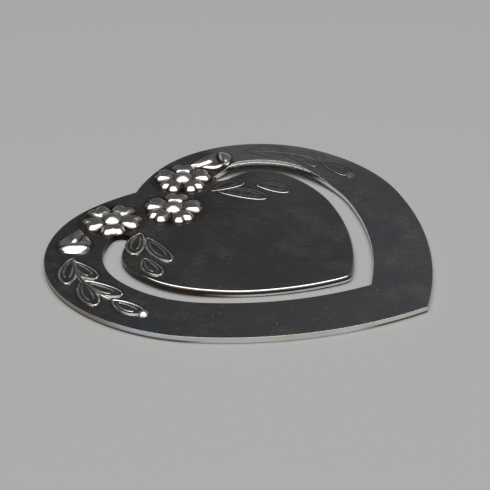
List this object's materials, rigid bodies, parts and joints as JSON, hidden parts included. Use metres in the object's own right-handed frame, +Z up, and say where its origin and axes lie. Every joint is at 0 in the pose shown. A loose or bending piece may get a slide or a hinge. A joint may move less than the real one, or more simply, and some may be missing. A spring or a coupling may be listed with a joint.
{
  "type": "heart clip bookmark",
  "caption": "Flat heart-shaped metal clip bookmark: a springy inner heart tongue in a heart frame, with raised flowers and leaves round its root.",
  "frame": {"origin": "middle of the heart's length and width, on the underside that rests on a page or a table", "axes": "+Z up out of the sheet, +Y from the heart's tip towards its cleft, +X across the heart to the right"},
  "size_m": [0.045, 0.0422, 0.0015],
  "materials": {
    "sheet_silver": "fine-brushed silver, lightly worn and tarnished",
    "ornament_silver": "polished silver relief with dark tarnish in the hollows"
  },
  "bodies": {
    "frame": {"outer_frame": "sheet_silver", "left_flower": "ornament_silver", "middle_flower": "ornament_silver", "right_flower": "ornament_silver", "left_bud": "ornament_silver", "right_bud": "ornament_silver", "left_frame_spray": "ornament_silver", "right_frame_spray": "ornament_silver", "left_upper_leaf": "ornament_silver", "right_upper_leaf": "ornament_silver"},
    "tongue": {"tongue": "sheet_silver", "left_middle_leaf": "ornament_silver", "left_lower_leaf": "ornament_silver", "right_middle_leaf": "ornament_silver", "right_lower_leaf": "ornament_silver"}
  },
  "joints": [
    {"name": "tongue_flex", "type": "hinge", "parent": "frame", "child": "tongue", "pos_m": [0, 0.0083, 0.0007], "axis": [-1, 0, 0], "range_deg": [0, 6], "stiffness_Nm_per_rad": 0.05}
  ]
}
